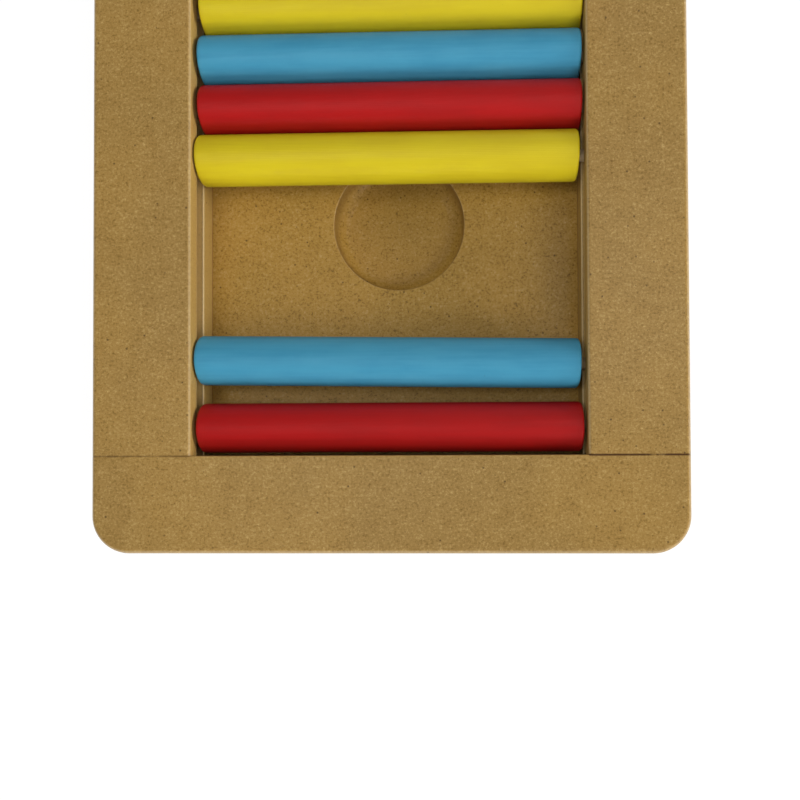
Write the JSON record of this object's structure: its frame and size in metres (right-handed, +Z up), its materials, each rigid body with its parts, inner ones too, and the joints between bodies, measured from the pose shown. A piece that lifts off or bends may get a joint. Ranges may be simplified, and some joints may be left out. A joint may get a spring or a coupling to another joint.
{
  "type": "dog puzzle feeder toy",
  "caption": "Flat fibreboard puzzle feeder for dogs: painted wooden rollers roll and slide along grooves in the frame and cover round treat wells.",
  "frame": {"origin": "middle of the board's outline, on the surface that the four rubber feet stand on", "axes": "+X across the board along the rollers, +Y along the board from the front end rail to the rear end rail, +Z up"},
  "size_m": [0.19, 0.317, 0.0342],
  "materials": {
    "rail_board": "satin lacquered medium density fibreboard",
    "panel_board": "satin lacquered medium density fibreboard",
    "paint_red": "gloss paint on a beech dowel",
    "paint_blue": "gloss paint on a beech dowel",
    "paint_yellow": "gloss paint on a beech dowel",
    "axle_steel": "drawn rod",
    "screw_zinc": "zinc plated",
    "foot_rubber": "matt"
  },
  "bodies": {
    "board": {"base_panel": "panel_board", "left_side_rail": "rail_board", "right_side_rail": "rail_board", "front_end_rail": "rail_board", "rear_end_rail": "rail_board", "side_rail_screws": "screw_zinc", "end_rail_screws": "screw_zinc", "front_left_foot": "foot_rubber", "front_right_foot": "foot_rubber", "rear_left_foot": "foot_rubber", "rear_right_foot": "foot_rubber"},
    "axle_01": {"axle_01": "axle_steel"},
    "roller_01": {"roller_01_red": "paint_red"},
    "axle_02": {"axle_02": "axle_steel"},
    "roller_02": {"roller_02_blue": "paint_blue"},
    "axle_03": {"axle_03": "axle_steel"},
    "roller_03": {"roller_03_yellow": "paint_yellow"},
    "axle_04": {"axle_04": "axle_steel"},
    "roller_04": {"roller_04_red": "paint_red"},
    "axle_05": {"axle_05": "axle_steel"},
    "roller_05": {"roller_05_blue": "paint_blue"},
    "axle_06": {"axle_06": "axle_steel"},
    "roller_06": {"roller_06_yellow": "paint_yellow"},
    "axle_07": {"axle_07": "axle_steel"},
    "roller_07": {"roller_07_red": "paint_red"},
    "axle_08": {"axle_08": "axle_steel"},
    "roller_08": {"roller_08_blue": "paint_blue"},
    "axle_09": {"axle_09": "axle_steel"},
    "roller_09": {"roller_09_yellow": "paint_yellow"},
    "axle_10": {"axle_10": "axle_steel"},
    "roller_10": {"roller_10_red": "paint_red"},
    "axle_11": {"axle_11": "axle_steel"},
    "roller_11": {"roller_11_blue": "paint_blue"},
    "axle_12": {"axle_12": "axle_steel"},
    "roller_12": {"roller_12_yellow": "paint_yellow"}
  },
  "joints": [
    {"name": "slide_01", "type": "slide", "parent": "board", "child": "axle_01", "axis": [0, 1, 0], "range_m": [-0.0007, 0.0042]},
    {"name": "slide_02", "type": "slide", "parent": "board", "child": "axle_02", "axis": [0, 1, 0], "range_m": [-0.0042, 0.0495]},
    {"name": "slide_03", "type": "slide", "parent": "board", "child": "axle_03", "axis": [0, 1, 0], "range_m": [-0.0495, 0]},
    {"name": "slide_04", "type": "slide", "parent": "board", "child": "axle_04", "axis": [0, 1, 0], "range_m": [-0.0495, 0]},
    {"name": "slide_05", "type": "slide", "parent": "board", "child": "axle_05", "axis": [0, 1, 0], "range_m": [-0.0495, 0]},
    {"name": "slide_06", "type": "slide", "parent": "board", "child": "axle_06", "axis": [0, 1, 0], "range_m": [-0.0495, 0]},
    {"name": "slide_07", "type": "slide", "parent": "board", "child": "axle_07", "axis": [0, 1, 0], "range_m": [-0.0495, 0]},
    {"name": "slide_08", "type": "slide", "parent": "board", "child": "axle_08", "axis": [0, 1, 0], "range_m": [-0.0495, 0]},
    {"name": "slide_09", "type": "slide", "parent": "board", "child": "axle_09", "axis": [0, 1, 0], "range_m": [-0.0495, 0]},
    {"name": "slide_10", "type": "slide", "parent": "board", "child": "axle_10", "axis": [0, 1, 0], "range_m": [0, 0.0008]},
    {"name": "slide_11", "type": "slide", "parent": "board", "child": "axle_11", "axis": [0, 1, 0], "range_m": [0, 0.0008]},
    {"name": "slide_12", "type": "slide", "parent": "board", "child": "axle_12", "axis": [0, 1, 0], "range_m": [0, 0.0008]},
    {"name": "spin_01", "type": "hinge", "parent": "axle_01", "child": "roller_01", "pos_m": [0.0001, -0.1185, 0.0248], "axis": [1, 0, 0], "continuous": true},
    {"name": "spin_02", "type": "hinge", "parent": "axle_02", "child": "roller_02", "pos_m": [-0.0006, -0.097, 0.0248], "axis": [0.9999, -0.014, 0], "continuous": true},
    {"name": "spin_03", "type": "hinge", "parent": "axle_03", "child": "roller_03", "pos_m": [-0.0007, -0.02965, 0.0248], "axis": [1, 0, 0], "continuous": true},
    {"name": "spin_04", "type": "hinge", "parent": "axle_04", "child": "roller_04", "pos_m": [0.00025, -0.0132, 0.0248], "axis": [1, 0, 0], "continuous": true},
    {"name": "spin_05", "type": "hinge", "parent": "axle_05", "child": "roller_05", "pos_m": [0.00015, 0.00325, 0.0248], "axis": [1, 0, 0], "continuous": true},
    {"name": "spin_06", "type": "hinge", "parent": "axle_06", "child": "roller_06", "pos_m": [0.00065, 0.0197, 0.0248], "axis": [1, 0, 0], "continuous": true},
    {"name": "spin_07", "type": "hinge", "parent": "axle_07", "child": "roller_07", "pos_m": [0.0001, 0.03615, 0.0248], "axis": [1, 0, 0], "continuous": true},
    {"name": "spin_08", "type": "hinge", "parent": "axle_08", "child": "roller_08", "pos_m": [-0.0003, 0.0526, 0.0248], "axis": [1, 0, 0], "continuous": true},
    {"name": "spin_09", "type": "hinge", "parent": "axle_09", "child": "roller_09", "pos_m": [0.0004, 0.06905, 0.0248], "axis": [1, 0, 0], "continuous": true},
    {"name": "spin_10", "type": "hinge", "parent": "axle_10", "child": "roller_10", "pos_m": [0, 0.0855, 0.0248], "axis": [1, 0, 0], "continuous": true},
    {"name": "spin_11", "type": "hinge", "parent": "axle_11", "child": "roller_11", "pos_m": [0.0005, 0.10195, 0.0248], "axis": [1, 0, 0], "continuous": true},
    {"name": "spin_12", "type": "hinge", "parent": "axle_12", "child": "roller_12", "pos_m": [-0.0002, 0.1184, 0.0248], "axis": [1, 0, 0], "continuous": true}
  ],
  "couplings": [
    {"joint": "slide_04", "follows": "slide_03", "ratio": 1},
    {"joint": "slide_05", "follows": "slide_03", "ratio": 1},
    {"joint": "slide_06", "follows": "slide_03", "ratio": 1},
    {"joint": "slide_07", "follows": "slide_03", "ratio": 1},
    {"joint": "slide_08", "follows": "slide_03", "ratio": 1},
    {"joint": "slide_09", "follows": "slide_03", "ratio": 1},
    {"joint": "slide_11", "follows": "slide_10", "ratio": 1},
    {"joint": "slide_12", "follows": "slide_10", "ratio": 1}
  ]
}
